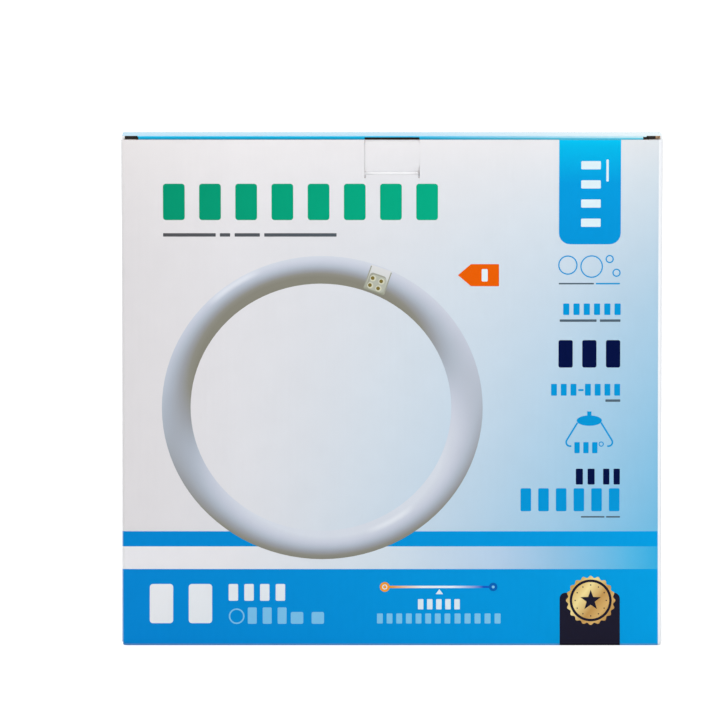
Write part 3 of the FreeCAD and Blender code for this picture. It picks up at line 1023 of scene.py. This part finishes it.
connector_tilt = math.radians(-19)
PIN_PLACES = ((-11.8, 225.5), (-6.6, 223.5), (-13.5, 221.2), (-8.5, 219.2))
collar = start_print("connector_collar")
add_block(-15.4, -2.1, 216.6, 232, 0.8, connector_tilt)
collar_ink = colour_along(
    board_finish("ink_collar"),
    [
        (0, (142, 146, 128)), (0.12, (168, 171, 155)), (0.5, (188, 190, 180)),
        (0.68, (209, 211, 210)), (1, (214, 215, 216)),
    ],
    (-math.sin(connector_tilt), 0, math.cos(connector_tilt)), 201.6 * MM, 217 * MM,
)
end_print(collar, collar_ink, 2)
collar_lines = start_print("connector_lines")
for across, up in ((-14.8, 226.4), (-2.7, 222.2)):
    add_block(across - 0.35, across + 0.35, up - 7, up + 7, 0.1, connector_tilt)
add_block(-14.8, -4.4, 217.8, 227.9, 2, connector_tilt)
end_print(collar_lines, ink_of("ink_olive_dark", (158, 159, 146)), 3)
socket = start_print("connector_socket")
add_block(-14, -4.2, 217.5, 226.8, 1.8, connector_tilt)
end_print(socket, ink_of("ink_olive", (178, 181, 168)), 4)
pin_rims = start_print("connector_pin_rims")
for across, up in PIN_PLACES:
    add_disc(across + 0.2, up - 0.1, 1.9, 1.9, 24)
end_print(pin_rims, ink_of("ink_rim", (206, 206, 184)), 5)
pins = start_print("connector_pins")
for across, up in PIN_PLACES:
    add_disc(across, up, 1.15, 1.15, 24)
end_print(pins, ink_of("ink_pins", (120, 106, 52)), 6)


# Studio: a pale floor that runs far back, a large soft lamp at the upper left, a fill at the
# right and one behind. The camera stands far off with a long lens, higher than the lid and a
# little left of the carton's middle.
bpy.ops.object.select_all(action="DESELECT")
bpy.ops.mesh.primitive_plane_add(size=40, location=(0, 10, -0.05 * MM))
floor = bpy.context.object
floor.name = "studio_floor"
paint = bpy.data.materials.new("studio_floor_paint")
paint.use_nodes = True
tree = paint.node_tree
join = tree.links.new
matt = tree.nodes["Principled BSDF"]
matt.inputs["Base Color"].default_value = tone(238, 238, 238)
matt.inputs["Roughness"].default_value = 0.9
glow = tree.nodes.new("ShaderNodeEmission")
path = tree.nodes.new("ShaderNodeLightPath")
lift = reckon(tree, "MULTIPLY", path.outputs["Is Camera Ray"], 0.62)
join(lift, glow.inputs["Strength"])
both = tree.nodes.new("ShaderNodeAddShader")
join(matt.outputs["BSDF"], both.inputs[0])
join(glow.outputs["Emission"], both.inputs[1])
join(both.outputs["Shader"], tree.nodes["Material Output"].inputs["Surface"])
floor.data.materials.append(paint)

sky = bpy.data.worlds.new("studio_sky")
bpy.context.scene.world = sky
sky.use_nodes = True
tree = sky.node_tree
join = tree.links.new
air = tree.nodes["Background"]
air.inputs["Color"].default_value = (1, 1, 1, 1)
path = tree.nodes.new("ShaderNodeLightPath")
toward = tree.nodes.new("ShaderNodeTexCoord").outputs["Generated"]
backdrop = spread(tree, reach_along(tree, toward, (0, 1, 0)), -0.1, 0.5, 0.04)
mirrored = tree.nodes.new("ShaderNodeMix")
mirrored.inputs["A"].default_value = 0.55
join(path.outputs["Is Glossy Ray"], mirrored.inputs["Factor"])
join(backdrop, mirrored.inputs["B"])
level = reckon(tree, "MAXIMUM", path.outputs["Is Camera Ray"], mirrored.outputs["Result"])
join(level, air.inputs["Strength"])


def add_softbox(name, place, aim, size, power):
    """A square studio lamp that faces a point."""
    bpy.ops.object.light_add(type="AREA", location=place)
    lamp = bpy.context.object
    lamp.name = name
    lamp.data.size = size
    lamp.data.energy = power
    lamp.rotation_euler = (Vector(aim) - Vector(place)).to_track_quat("-Z", "Y").to_euler()
    return lamp


add_softbox("key_light", (-1.1, -1.9, 1.3), (0, 0, 0.12), 1.4, 21)
add_softbox("fill_light", (1.6, -1.4, 0.7), (0, 0, 0.12), 1.2, 12)
back_light = add_softbox("back_light", (-0.2, 2.4, 1.9), (0, 0, 0.15), 1.6, 41)
back_light.visible_glossy = False

camera_place = Vector((-19.5 * MM, front_y - 7, 829.1 * MM))
frame_middle = Vector((-19.5 * MM, front_y, 175.3 * MM))
bpy.ops.object.camera_add(
    location=camera_place,
    rotation=(frame_middle - camera_place).to_track_quat("-Z", "Y").to_euler(),
)
camera = bpy.context.object
camera.data.lens = 576.5
camera.data.clip_end = 60
bpy.context.scene.camera = camera
bpy.context.scene.view_settings.view_transform = "Standard"
